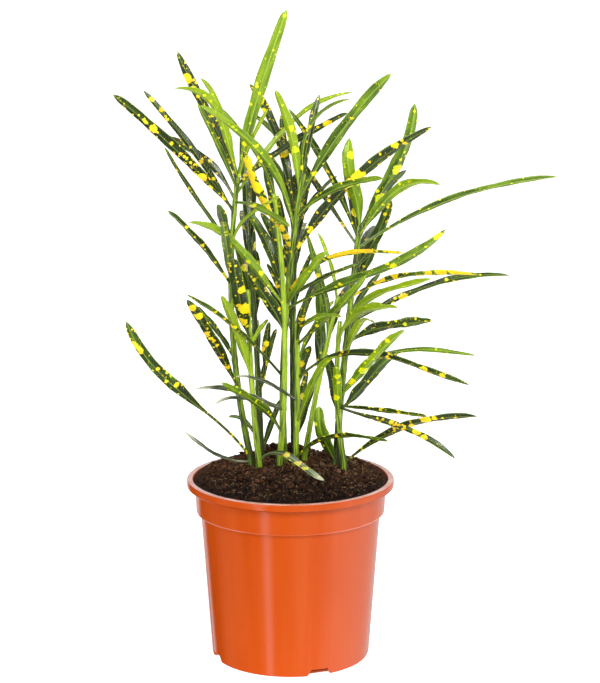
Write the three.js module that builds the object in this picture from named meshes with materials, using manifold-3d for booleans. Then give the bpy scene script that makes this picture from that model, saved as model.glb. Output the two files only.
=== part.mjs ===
// A croton with narrow, gold-flecked leaves, in its round plastic nursery pot.
// Millimetres, +Z up. The origin is on the pot's axis, on the surface that it stands on,
// and -Y is the front of the plant.

import * as THREE from 'three';
import { mergeVertices } from 'three/addons/utils/BufferGeometryUtils.js';
import Module from 'manifold-3d';

const wasm = await Module();
wasm.setup();

// Pot
const POT_HEIGHT = 114.5;
const RIM_RADIUS = 65;
const RIM_INNER_RADIUS = 61.4;
const RIM_THICKNESS = 4.8;
const RIM_ROUND = 0.6;
const COLLAR_RADIUS = 60;
const COLLAR_HEIGHT = 17;
const BODY_TOP_RADIUS = 56.4;
const BASE_RADIUS = 49.9;
const BASE_ROUND = 1.5;
const WALL = 2;
const POT_SIDES = 48;

// Drainage notches in the pot's bottom edge
const NOTCH_COUNT = 4;
const NOTCH_FIRST_ANGLE = -69;
const NOTCH_HEIGHT = 4.4;
const NOTCH_WIDTH = 17;
const NOTCH_SLANT = 3;
const NOTCH_DEPTH = 6;

// Soil
const CLEARANCE = 0.4;
const SOIL_EDGE_LEVEL = POT_HEIGHT - 1.2;
const SOIL_EDGE_RADIUS = RIM_INNER_RADIUS - 0.8;
const SOIL_RISE = 1.6;
const SOIL_TILT = 0.04;
const SOIL_RELIEF = 0.5;
const SOIL_BACK_SLOPE = 0.05;
const SOIL_HEAP = [-6, 46];
const SOIL_HEAP_HEIGHT = 9.5;
const SOIL_HEAP_SPREAD = 16;
const SOIL_RINGS = 8;

// Stems
const STEM_BOTTOM = 84;
const STEM_START = 120;
const STEM_SIDES = 6;
const STEM_STEP = 26;

// Leaves
const STALK_SHARE = 0.08;
const STALK_WIDTH = 1.8;
const STALK_THICKNESS = 1.6;
const BLADE_THICKNESS = 0.8;
const BLADE_FOLD = 0.16;
const WAVE_COUNT = 2.5;
const WAVE_HEIGHT = 0.08;
const WAVE_WIDTH = 0.08;
const GOLDEN_ANGLE = 2.4;
const TIP_START = 0.58;
const LEAF_STATIONS = [0, 0.15, 0.31, 0.5, 0.7, 0.89, 1];

// Each stem has its foot [x, y], its top [x, y, z], how far its middle bows [x, y] and its
// radius at foot and top. Each of its leaves has the height where it leaves the stem, its
// tip [x, y, z], how far it arches up a third and two thirds of the way, its width, how far
// its blade is turned to the front in percent of the way and, if it is long, its stalk's share.
const STEMS = [
  {
    foot: [-25, 21], top: [-32, 6, 303], bow: [-8, 0], radius: [2.2, 1.4],
    leaves: [
      [282, [-106, -15, 355], [2, 2], 6.6, 75],
      [288, [-84, 45, 326], [8, 6.5], 4.8, 60],
      [280, [-91, 30, 354], [3, 2.5], 4.4, 60],
      [299, [-69, 15, 379], [2, 0.5], 6, 75],
      [303, [-69, -25, 359], [10, 15], 5.3, 60],
      [303, [-56, 40, 361], [4.5, 7], 3.8, 35],
      [296, [-54, -45, 352], [1, 1], 3.6, 40],
      [258, [-79, 40, 318], [-1, -1.5], 3, 40],
      [235, [-73, -30, 287], [2, 2], 4.8, 35],
      [251, [-42, -55, 294], [2, 2], 5.5, 45],
      [236, [-39, -65, 285], [2, 2], 5.5, 45],
      [168, [-62, -35, 234], [1.5, 1.5], 6.4, 70],
      [186, [-59, 30, 218], [1.5, 1], 4.2, 30],
      [121, [-100, -20, 218], [-1, -6], 7.6, 80, 0.32],
      [119, [-66, -5, 145], [-5, -4], 2.6, 60],
      [303, [-2, -18, 405], [2.5, 2], 7.7, 75],
      [297, [-13, -35, 348], [4, 3], 2.6, 45],
      [292, [40, 42, 352], [8.5, 11.5], 3.8, 40],
      [298, [36, 32, 340], [3, 2.5], 5, 50],
      [287, [0, -50, 280], [3, 2], 4.5, 35],
      [262, [-6, -20, 295], [5, 3], 2.8, 45],
    ],
  },
  {
    foot: [-20, 15], top: [-26, 5, 233], bow: [-1.5, 0], radius: [2, 1.3],
    leaves: [
      [202, [-34, -35, 259], [-3, -3], 9, 65],
      [175, [-42, -15, 233], [2, 2], 6, 60],
      [196, [-14, 22, 211], [1, 1], 3, 40],
      [121, [21, -18, 117], [9, 5], 4, 50],
    ],
  },
  {
    foot: [-19, 28], top: [-26, 28, 263], bow: [1, 0], radius: [2.2, 1.3],
    leaves: [
      [250, [-29, 62, 301], [2, 2], 6.2, 40],
      [225, [-26, 58, 270], [3, 3], 6, 40],
      [131, [-40, 38, 144], [3, 4.5], 2.8, 55],
      [122, [-5, 62, 151], [1, 2], 3.8, 45],
      [163, [-13, 14, 211], [-4, -1], 5, 55, 0.3],
      [165, [-9, 58, 198], [0, 1], 3.8, 30],
      [240, [-32, 85, 272], [5, 5], 5.5, 20],
      [200, [-34, 88, 232], [8, 8], 5.5, 20],
      [175, [-24, 95, 196], [9, 9], 5.4, 10],
      [258, [-31, 55, 325], [2, 2], 5.5, 40],
      [255, [-24, 62, 300], [3, 3], 6, 30],
      [205, [-22, 55, 250], [3, 3], 6, 30],
      [215, [-35, 45, 258], [1, 1], 6.2, 40],
    ],
  },
  {
    foot: [-4, 25], top: [8, 5, 305], bow: [-5, 3], radius: [2.3, 1.5],
    leaves: [
      [269, [-52, -48, 351], [13.5, 11], 5.6, 60],
      [174, [-62, -40, 238], [3.5, 3.5], 4, 40, 0.25],
      [290, [-9, -10, 357], [5, 5], 6, 60],
      [274, [-26, 62, 356], [11, 11], 5.5, 50],
      [265, [-6, 75, 335], [0, 0], 5, 30],
      [302, [36, -15, 352], [12, 12.5], 2.8, 55],
      [300, [18, 10, 353], [1, 1], 5, 60],
      [285, [9, 55, 322], [1, 1], 7, 40],
      [288, [59, -42, 369], [4, 4], 7, 75],
      [250, [84, -30, 337], [8.5, 8], 6.8, 70, 0.02],
      [278, [55, -45, 308], [5.5, 5], 5, 65],
      [218, [92, -45, 278], [-1, -5], 6.2, 70],
      [228, [68, -35, 262], [12, 9.5], 4, 60],
      [221, [21, -35, 263], [1, 1], 5.5, 55],
      [208, [16, 8, 250], [5, 4], 3.2, 55],
      [225, [41, -8, 251], [1.5, 1.5], 3.4, 60],
      [270, [30, 55, 298], [3, 3], 3, 25],
      [254, [-10, -32, 283], [3, 2.5], 4, 45],
      [242, [-8, 45, 286], [3, 3], 4.5, 35],
    ],
  },
  {
    foot: [-7, 17], top: [-10, 4, 293], bow: [5, -5], radius: [2, 1.3],
    leaves: [
      [292, [-43, 14, 345], [4, 3], 3, 50],
      [224, [-60, -52, 283], [5.5, 9], 5.5, 65],
      [232, [-26, 25, 278], [3, 3.5], 6.6, 50],
      [272, [-28, -12, 321], [-2, -2], 5.8, 55],
      [274, [-16, 40, 309], [0, 0], 5.5, 40],
      [250, [-12, 45, 273], [1, 1], 4.4, 30],
      [205, [-26, -5, 245], [2, 1.5], 7.4, 80],
      [157, [-58, -32, 178], [2, 4], 3.8, 65],
      [155, [-46, -38, 170], [4, 5.5], 4, 65],
      [139, [-41, -48, 186], [5, 3], 5.6, 75],
    ],
  },
  {
    foot: [3, 19], top: [4, 14, 210], bow: [1, 0], radius: [2, 1.4],
    leaves: [
      [160, [-33, -42, 188], [2.5, 3.5], 2.9, 55],
      [196, [45, -48, 251], [-1, -2], 5.4, 55],
      [205, [31, -45, 225], [4, 4], 3.9, 60],
      [199, [10, -28, 232], [1, 1], 4.4, 45],
      [185, [28, 45, 219], [3, 3], 3.6, 35],
      [174, [107, -52, 185], [17.5, 12], 5.8, 65],
      [145, [30, -42, 200], [6, 9], 4.6, 45],
      [121, [60, -34, 146], [9, 7], 4.2, 65],
    ],
  },
  {
    foot: [3, 31], top: [4, 27, 270], bow: [-2, 0], radius: [2.2, 1.4],
    leaves: [
      [226, [-19, 50, 275], [2, 3], 5.4, 50],
      [128, [16, 65, 163], [1, 1], 5, 45],
      [132, [11, 55, 171], [1, 1], 4.6, 45],
      [250, [14, 85, 298], [6, 6], 5.5, 20],
      [262, [-15, 85, 310], [6, 6], 5.5, 20],
      [235, [10, 95, 262], [9, 9], 5.5, 10],
      [200, [-30, 85, 235], [8, 8], 5.5, 30],
      [190, [24, 90, 228], [8, 8], 5.5, 10],
      [265, [3, 48, 300], [1, 1], 5, 30],
      [205, [-15, 45, 243], [2, 2], 4.5, 40],
      [215, [14, 45, 250], [2, 2], 3.6, 40],
      [160, [13, 52, 188], [1, 1], 6, 20],
    ],
  },
  {
    foot: [29, 20], top: [43, 8, 273], bow: [-1, 0], radius: [2.3, 1.5],
    leaves: [
      [260, [-27, 70, 338], [4, 6], 4.2, 40],
      [264, [-1, 14, 344], [3, 3], 4.6, 60],
      [270, [75, -8, 349], [-3.5, -6], 8, 60],
      [267, [36, -5, 328], [2, -5], 7.8, 65],
      [266, [89, -35, 303], [8.5, 11], 6.2, 70],
      [258, [161, -20, 306], [8, 8], 5, 55],
      [227, [114, -28, 248], [7, 5.5], 4.2, 60],
      [210, [137, 15, 240], [6.5, 8], 4.8, 40],
      [245, [64, 45, 284], [-4, -4], 7, 45],
      [216, [58, 55, 235], [1, 1], 3.6, 20],
      [190, [50, -38, 220], [6, 8], 5, 45],
      [196, [87, -12, 217], [4.5, 3], 6.9, 75],
      [165, [118, 25, 187], [15.5, 12], 3.4, 50],
      [119, [18, 5, 159], [-3.5, -5], 7.8, 75],
      [262, [75, 70, 300], [5, 5], 5.5, 20],
      [235, [56, 82, 262], [6, 6], 5.5, 20],
      [180, [50, 92, 205], [9, 9], 5.5, 10],
      [262, [33, 25, 318], [1, 0], 5, 50],
      [238, [55, 45, 257], [-3, -2.5], 5.5, 30],
      [146, [24, 64, 180], [2, 2], 6, 20],
    ],
  },
  {
    foot: [34, 12], top: [31, 10, 212], bow: [-3, 0], radius: [2, 1.3],
    leaves: [
      [202, [83, -55, 250], [10, 7], 5, 65],
      [200, [63, -60, 234], [9, 6.5], 7, 70],
      [150, [28, -18, 189], [2, 3], 5.5, 50],
      [162, [68, -48, 218], [1, 2], 6.2, 55],
      [154, [67, -5, 196], [0, 1.5], 7, 80],
      [120, [114, -32, 161], [8, 8], 5.6, 70],
      [157, [100, -42, 137], [3, 5], 4.4, 40],
      [158, [82, -48, 165], [0, 0], 4, 65],
    ],
  },
  {
    foot: [9, 27], top: [30, 14, 227], bow: [-1, 0], radius: [1.9, 1.2],
    leaves: [
      [224, [17, 18, 267], [2, 2], 2.8, 45],
      [196, [11, 42, 262], [8, 4.5], 4.4, 35],
      [190, [44, 88, 225], [8, 8], 5.5, 10],
      [170, [20, 95, 200], [9, 9], 5.5, 10],
      [180, [19, 60, 232], [1, 1], 6, 30],
    ],
  },
];

// Solids

function toManifold(geometry) {
  const bare = geometry.clone();
  bare.deleteAttribute('normal');
  bare.deleteAttribute('uv');
  const merged = mergeVertices(bare, 1e-4);
  return new wasm.Manifold(new wasm.Mesh({
    numProp: 3,
    vertProperties: new Float32Array(merged.attributes.position.array),
    triVerts: new Uint32Array(merged.index.array),
  }));
}

function toGeometry(solid) {
  const mesh = solid.getMesh();
  const geometry = new THREE.BufferGeometry();
  geometry.setAttribute('position', new THREE.BufferAttribute(mesh.vertProperties, mesh.numProp));
  geometry.setIndex(new THREE.BufferAttribute(mesh.triVerts, 1));
  geometry.computeVertexNormals();
  return geometry;
}

// Skins a row of closed rings of points, and closes both ends with capTriangles. The first
// half of a ring's sides is its upper face, and both faces are split along like diagonals.
function skinRings(rings, capTriangles) {
  const count = rings[0].length;
  const last = (rings.length - 1) * count;
  const index = [];
  for (let ring = 0; ring < rings.length - 1; ring += 1) {
    for (let side = 0; side < count; side += 1) {
      const a = ring * count + side;
      const b = ring * count + (side + 1) % count;
      const isUpper = side < count / 2;
      if (isUpper) index.push(a, b, b + count, a, b + count, a + count);
      else index.push(a, b, a + count, b, b + count, a + count);
    }
  }
  for (const [i, j, k] of capTriangles) {
    index.push(k, j, i, last + i, last + j, last + k);
  }
  const geometry = new THREE.BufferGeometry().setFromPoints(rings.flat());
  geometry.setIndex(index);
  return geometry;
}

// The two halves of a leaf's cut end
const LEAF_END = [[0, 1, 4], [0, 4, 5], [1, 2, 3], [1, 3, 4]];

function fan(count) {
  return Array.from({ length: count - 2 }, (_, i) => [0, i + 1, i + 2]);
}

// Stems: upright in the soil, then one bowed line from foot to top

function stemPoint(stem, height) {
  const t = THREE.MathUtils.clamp((height - STEM_START) / (stem.top[2] - STEM_START), 0, 1);
  const bulge = 4 * t * (1 - t);
  return new THREE.Vector3(
    THREE.MathUtils.lerp(stem.foot[0], stem.top[0], t) + bulge * stem.bow[0],
    THREE.MathUtils.lerp(stem.foot[1], stem.top[1], t) + bulge * stem.bow[1],
    Math.min(height, stem.top[2]),
  );
}

function stemRadius(stem, height) {
  return THREE.MathUtils.mapLinear(height, STEM_START, stem.top[2], stem.radius[0], stem.radius[1]);
}

function circle(centre, radius, sides) {
  return Array.from({ length: sides }, (_, i) => {
    const angle = (2 * Math.PI * i) / sides;
    return new THREE.Vector3(radius * Math.cos(angle), radius * Math.sin(angle), 0).add(centre);
  });
}

function makeStem(stem) {
  const steps = Math.ceil((stem.top[2] - STEM_START) / STEM_STEP);
  const rings = [circle(new THREE.Vector3(...stem.foot, STEM_BOTTOM), stem.radius[0], STEM_SIDES)];
  for (let i = 0; i <= steps; i += 1) {
    const height = THREE.MathUtils.lerp(STEM_START, stem.top[2], i / steps);
    rings.push(circle(stemPoint(stem, height), stemRadius(stem, height), STEM_SIDES));
  }
  return toManifold(skinRings(rings, fan(STEM_SIDES)));
}

// Leaves: a stalk that starts inside the stem and a narrow, folded blade with waved edges

function leafCurve(start, tip, [lowRise, highRise]) {
  const chord = tip.clone().sub(start);
  const flat = Math.hypot(chord.x, chord.y);
  const length = chord.length();
  const up = new THREE.Vector3(-chord.z * chord.x / flat, -chord.z * chord.y / flat, flat).divideScalar(length);
  const low = start.clone().addScaledVector(chord, 1 / 3).addScaledVector(up, 3 * lowRise - 1.5 * highRise);
  const high = start.clone().addScaledVector(chord, 2 / 3).addScaledVector(up, 3 * highRise - 1.5 * lowRise);
  return new THREE.CubicBezierCurve3(start, low, high, tip);
}

// 0 on the stalk, 1 on the blade
function bladeShare(t, stalk) {
  return THREE.MathUtils.smoothstep(t, stalk, stalk + 0.27);
}

function leafWidth(t, width, stalk, phase) {
  const towardTip = Math.sqrt(Math.max(0, 1 - ((t - TIP_START) / (1.01 - TIP_START)) ** 2));
  const taper = t < TIP_START ? 1 : towardTip;
  const wave = 1 + WAVE_WIDTH * Math.sin(2 * Math.PI * WAVE_COUNT * t + phase);
  return THREE.MathUtils.lerp(STALK_WIDTH, width * taper * wave, bladeShare(t, stalk));
}

// The angle, about its own line, by which a blade rolls to face the front the shorter way
function rollToFront(along, across) {
  const normal = across.clone().cross(along);
  const front = new THREE.Vector3(0, -1, 0).projectOnPlane(along);
  const angle = Math.atan2(normal.clone().cross(front).dot(along), normal.dot(front));
  return Math.abs(angle) > Math.PI / 2 ? angle - Math.sign(angle) * Math.PI : angle;
}

function makeLeaf(stem, [height, tip, rise, width, turn, stalk = STALK_SHARE], order) {
  const curve = leafCurve(stemPoint(stem, height), new THREE.Vector3(...tip), rise);
  const chord = curve.v3.clone().sub(curve.v0);
  const level = new THREE.Vector3(chord.y, -chord.x, 0).normalize();
  const roll = rollToFront(chord.clone().normalize(), level) * turn / 100;
  const phase = order * GOLDEN_ANGLE;
  const rings = LEAF_STATIONS.map((t) => {
    const centre = curve.getPoint(t);
    const along = curve.getTangent(t);
    const normal = level.clone().cross(along).normalize();
    const across = level.clone().applyAxisAngle(along, roll);
    normal.applyAxisAngle(along, roll);
    const half = leafWidth(t, width, stalk, phase) / 2;
    const share = bladeShare(t, stalk);
    const thickness = THREE.MathUtils.lerp(STALK_THICKNESS, BLADE_THICKNESS, share);
    const place = (side, face) => {
      const wave = Math.sin(2 * Math.PI * WAVE_COUNT * t + phase + side) * WAVE_HEIGHT;
      const lift = Math.abs(side) * share * 2 * half * (BLADE_FOLD + wave);
      return centre.clone()
        .addScaledVector(across, side * half)
        .addScaledVector(normal, lift + face * thickness / 2);
    };
    return [place(-1, 1), place(0, 1), place(1, 1), place(1, -1), place(0, -1), place(-1, -1)];
  });
  return toManifold(skinRings(rings, LEAF_END));
}

function makeLeafyStem(stem) {
  const solids = stem.leaves.map((leaf, order) => makeLeaf(stem, leaf, order));
  return solids.reduce((joined, leaf) => joined.add(leaf), makeStem(stem));
}

// Pot

function potProfile() {
  const collarBottom = POT_HEIGHT - RIM_THICKNESS - COLLAR_HEIGHT;
  const rimBottom = POT_HEIGHT - RIM_THICKNESS;
  return [
    [0, 0],
    [BASE_RADIUS - BASE_ROUND, 0],
    [BASE_RADIUS - BASE_ROUND * 0.3, BASE_ROUND * 0.3],
    [BASE_RADIUS, BASE_ROUND],
    [BODY_TOP_RADIUS, collarBottom],
    [COLLAR_RADIUS - 0.8, collarBottom + 1],
    [COLLAR_RADIUS, rimBottom - 0.5],
    [RIM_RADIUS - RIM_ROUND, rimBottom],
    [RIM_RADIUS, rimBottom + RIM_ROUND],
    [RIM_RADIUS, POT_HEIGHT - RIM_ROUND],
    [RIM_RADIUS - RIM_ROUND, POT_HEIGHT],
    [RIM_INNER_RADIUS + RIM_ROUND / 2, POT_HEIGHT],
    [RIM_INNER_RADIUS, POT_HEIGHT - RIM_ROUND / 2],
    [COLLAR_RADIUS - WALL + 0.8, POT_HEIGHT - 6],
    [COLLAR_RADIUS - WALL - 0.4, collarBottom + 2.5],
    [BODY_TOP_RADIUS - WALL, collarBottom + 0.5],
    [BASE_RADIUS - WALL, WALL + 0.5],
    [0, WALL + 0.5],
  ].map(([radius, z]) => new THREE.Vector2(radius, z));
}

function uprightLathe(profile, sides) {
  return new THREE.LatheGeometry(profile, sides).rotateX(Math.PI / 2);
}

function makeNotch(angle) {
  const outline = new THREE.Shape([
    new THREE.Vector2(-NOTCH_WIDTH / 2, -1),
    new THREE.Vector2(NOTCH_WIDTH / 2, -1),
    new THREE.Vector2(NOTCH_WIDTH / 2 - NOTCH_SLANT, NOTCH_HEIGHT),
    new THREE.Vector2(-NOTCH_WIDTH / 2 + NOTCH_SLANT, NOTCH_HEIGHT),
  ]);
  const cutter = new THREE.ExtrudeGeometry(outline, { depth: NOTCH_DEPTH * 2, bevelEnabled: false });
  cutter.rotateX(Math.PI / 2);
  cutter.translate(0, -BASE_RADIUS + NOTCH_DEPTH, 0);
  cutter.rotateZ(THREE.MathUtils.degToRad(angle));
  return toManifold(cutter);
}

function makePot() {
  let pot = toManifold(uprightLathe(potProfile(), POT_SIDES));
  for (let i = 0; i < NOTCH_COUNT; i += 1) {
    pot = pot.subtract(makeNotch(NOTCH_FIRST_ANGLE + (360 * i) / NOTCH_COUNT));
  }
  return pot;
}

// Soil: fills the pot up to its rim, heaped at the back, with a plain hole for each stem

function soilHeight(x, y) {
  const inside = 1 - (Math.hypot(x, y) / SOIL_EDGE_RADIUS) ** 4;
  const lumps = Math.sin(0.31 * x + 1) * Math.cos(0.27 * y) + Math.sin(0.6 * y + 0.45 * x);
  const fromHeap = Math.hypot(x - SOIL_HEAP[0], y - SOIL_HEAP[1]) / SOIL_HEAP_SPREAD;
  const heap = SOIL_HEAP_HEIGHT * Math.exp(-(fromHeap ** 2));
  const edge = SOIL_EDGE_LEVEL + SOIL_BACK_SLOPE * Math.max(0, y);
  return edge + inside * (SOIL_RISE + SOIL_TILT * y + SOIL_RELIEF * lumps + heap);
}

function makeSoilFill() {
  const collarBottom = POT_HEIGHT - RIM_THICKNESS - COLLAR_HEIGHT;
  const sides = [
    [BASE_RADIUS - WALL - CLEARANCE, WALL + 0.5 + CLEARANCE],
    [BODY_TOP_RADIUS - WALL - CLEARANCE, collarBottom + 0.5 + CLEARANCE],
    [COLLAR_RADIUS - WALL - 0.4 - CLEARANCE, collarBottom + 2.5 + CLEARANCE],
    [COLLAR_RADIUS - WALL + 0.8 - CLEARANCE, POT_HEIGHT - 6],
  ];
  const profile = [new THREE.Vector2(0, sides[0][1])];
  sides.forEach(([radius, z]) => profile.push(new THREE.Vector2(radius, z)));
  for (let ring = SOIL_RINGS; ring >= 0; ring -= 1) {
    profile.push(new THREE.Vector2((SOIL_EDGE_RADIUS * ring) / SOIL_RINGS, SOIL_EDGE_LEVEL));
  }
  const geometry = uprightLathe(profile, POT_SIDES);
  const places = geometry.attributes.position;
  for (let i = 0; i < places.count; i += 1) {
    if (places.getZ(i) > SOIL_EDGE_LEVEL - 1) {
      places.setZ(i, soilHeight(places.getX(i), places.getY(i)));
    }
  }
  return toManifold(geometry);
}

function makeHole(stem) {
  const rings = [STEM_BOTTOM - CLEARANCE, 2 * POT_HEIGHT].map((z) => (
    circle(new THREE.Vector3(...stem.foot, z), stem.radius[0] + CLEARANCE, STEM_SIDES)
  ));
  return toManifold(skinRings(rings, fan(STEM_SIDES)));
}

function makeSoil() {
  return STEMS.reduce((soil, stem) => soil.subtract(makeHole(stem)), makeSoilFill());
}

// Assembly

function addPiece(name, solid, color, roughness) {
  const material = new THREE.MeshStandardMaterial({ color, roughness, metalness: 0 });
  const mesh = new THREE.Mesh(toGeometry(solid), material);
  mesh.name = name;
  croton.add(mesh);
}

const croton = new THREE.Group();
addPiece('pot', makePot(), 0xdc5a19, 0.35);
addPiece('soil', makeSoil(), 0x2c1d14, 0.95);
STEMS.forEach((stem, i) => {
  addPiece(`leafy_stem_${String(i + 1).padStart(2, '0')}`, makeLeafyStem(stem), 0x4c7a1e, 0.4);
});

export default croton;
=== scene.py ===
# A croton with narrow, gold-flecked leaves, in its round plastic nursery pot.
# Sizes are in millimetres, as in the part's source, unless a comment says metres.
# +Z is up, and -Y is the front of the plant.

import math
import random

import bmesh
import bpy
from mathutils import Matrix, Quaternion, Vector, noise


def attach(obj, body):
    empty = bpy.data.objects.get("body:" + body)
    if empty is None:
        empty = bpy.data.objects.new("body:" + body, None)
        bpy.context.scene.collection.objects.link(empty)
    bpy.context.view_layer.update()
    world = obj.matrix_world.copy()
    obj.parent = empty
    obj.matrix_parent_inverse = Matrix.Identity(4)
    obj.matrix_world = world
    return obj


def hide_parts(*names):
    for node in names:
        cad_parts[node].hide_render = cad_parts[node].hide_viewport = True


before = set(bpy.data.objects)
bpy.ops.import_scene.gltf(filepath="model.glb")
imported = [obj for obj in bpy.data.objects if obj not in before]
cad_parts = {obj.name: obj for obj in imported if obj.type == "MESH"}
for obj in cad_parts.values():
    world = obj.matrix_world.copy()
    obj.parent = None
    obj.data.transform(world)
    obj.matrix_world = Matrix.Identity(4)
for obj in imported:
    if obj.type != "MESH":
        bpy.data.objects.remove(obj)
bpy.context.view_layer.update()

MM = 0.001

# Camera: its place in metres, its turns in radians, and its lens and film in millimetres
CAMERA_PLACE = (0, -1.2, 0.442)
CAMERA_PITCH = 0.198
CAMERA_YAW = 0.005
LENS = 104
FILM_WIDTH = 36

# Lights: their place, target and side in metres
KEY_LIGHT = dict(place=(0.5, -1.3, 1.1), target=(0, 0, 0.22), side=0.7, watts=22)
SHEEN_LIGHT = dict(place=(-0.8, -1.1, 1.2), target=(0, 0, 0.25), side=0.9, watts=34)

# Pot
POT_HEIGHT = 114.5
RIM_RADIUS = 65
RIM_INNER_RADIUS = 61.4
RIM_THICKNESS = 4.8
RIM_ROUND = 0.6
RIM_BOTTOM = POT_HEIGHT - RIM_THICKNESS
COLLAR_RADIUS = 60
COLLAR_HEIGHT = 17
COLLAR_BOTTOM = RIM_BOTTOM - COLLAR_HEIGHT
BODY_TOP_RADIUS = 56.4
BASE_RADIUS = 49.9
BASE_ROUND = 1.5
WALL = 2
POT_FLOOR = WALL + 0.5
POT_SIDES = 160
EDGE_SOFTENING = 0.35
SOFTENED_EDGE_ANGLE = 25
SHARP_EDGE_ANGLE = 40

# The inside of the pot's wall as (radius, height), from below the rim to the pot's floor
INNER_WALL = [
    (COLLAR_RADIUS - WALL + 0.8, POT_HEIGHT - 6),
    (COLLAR_RADIUS - WALL - 0.4, COLLAR_BOTTOM + 2.5),
    (BODY_TOP_RADIUS - WALL, COLLAR_BOTTOM + 0.5),
    (BASE_RADIUS - WALL, POT_FLOOR),
]

# Drainage notches in the pot's bottom edge
NOTCH_COUNT = 4
NOTCH_FIRST_ANGLE = -69
NOTCH_HEIGHT = 4.4
NOTCH_WIDTH = 17
NOTCH_SLANT = 3
NOTCH_DEPTH = 6

# Soil
CLEARANCE = 0.4
SOIL_EDGE_LEVEL = POT_HEIGHT - 1.2
SOIL_EDGE_RADIUS = RIM_INNER_RADIUS - 0.8
SOIL_RISE = 1.6
SOIL_TILT = 0.04
SOIL_BACK_SLOPE = 0.05
SOIL_HEAP = (-6, 46)
SOIL_HEAP_HEIGHT = 9.5
SOIL_HEAP_SPREAD = 16
SOIL_RINGS = 120
SOIL_SPOKES = 260

# The soil's swells, lumps and grains: how fine they are, their own level in the noise, and
# their height
SWELLS = (0.09, 3, 1.4)
LUMPS = (0.33, 7, 2.0)
GRAINS = (0.95, 11, 0.6)

# Loose crumbs and fibres on the soil
CRUMB_COUNT = 3200
CRUMB_SIZE = 0.2
CRUMB_GROWTH = 2.2
CRUMB_RARITY = 7
CRUMB_ROUGHNESS = 0.7
FIBRE_COUNT = 1200
FIBRE_LENGTHS = (1.5, 6)
FIBRE_RADII = (0.07, 0.2)
FIBRE_LIFTS = (0, 1.3)
FIBRE_BEND = 0.3
FIBRE_SIDES = 4
FIBRE_STEPS = 7

# Stems
STEM_BOTTOM = 84
STEM_START = 120
STEM_SIDES = 14
STEM_STEP = 3
STEM_LUMPS = 0.12
NODE_SWELL = 0.3
NODE_SPREAD = 1.8

# Leaves
STALK_SHARE = 0.08
STALK_WIDTH = 1.8
STALK_THICKNESS = 1.6
STALK_WIDENING = 0.27
BLADE_THICKNESS = 0.6
BLADE_THINNING = 0.55
BLADE_FOLD = 0.16
RIB_HEIGHT = 0.3
RIB_WIDTH = 0.35
WAVE_COUNT = 2.5
WAVE_HEIGHT = 0.08
WAVE_WIDTH = 0.08
RUFFLE_COUNT = 8
RUFFLE_HEIGHT = 0.03
GOLDEN_ANGLE = 2.4
TIP_START = 0.66
TIP_END = 1.01
TIP_ROUND = 0.035
LEAF_STATIONS = 40
LEAF_COLUMNS = 9
PATCH_DRIFT = 0.3
NO_PATCH = -9.0

# How far apart the leaves, and the stems, stand in the noise that their materials read, so
# that no two look alike
LEAF_NOISE_STEP = 23.7
STEM_NOISE_STEP = 31

# How each kind of leaf looks: its age from lime to dark green, its share of gold, and how dry
KINDS = {
    "lime": (0.0, 0.05, 0.0),
    "fresh": (0.28, 0.12, 0.0),
    "mid": (0.55, 0.2, 0.0),
    "dark": (0.85, 0.3, 0.0),
    "old": (1.0, 0.4, 0.0),
    "gold": (0.8, 0.95, 0.0),
    "dry": (0.7, 0.1, 0.95),
    "drying": (0.8, 0.3, 0.35),
}

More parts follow.
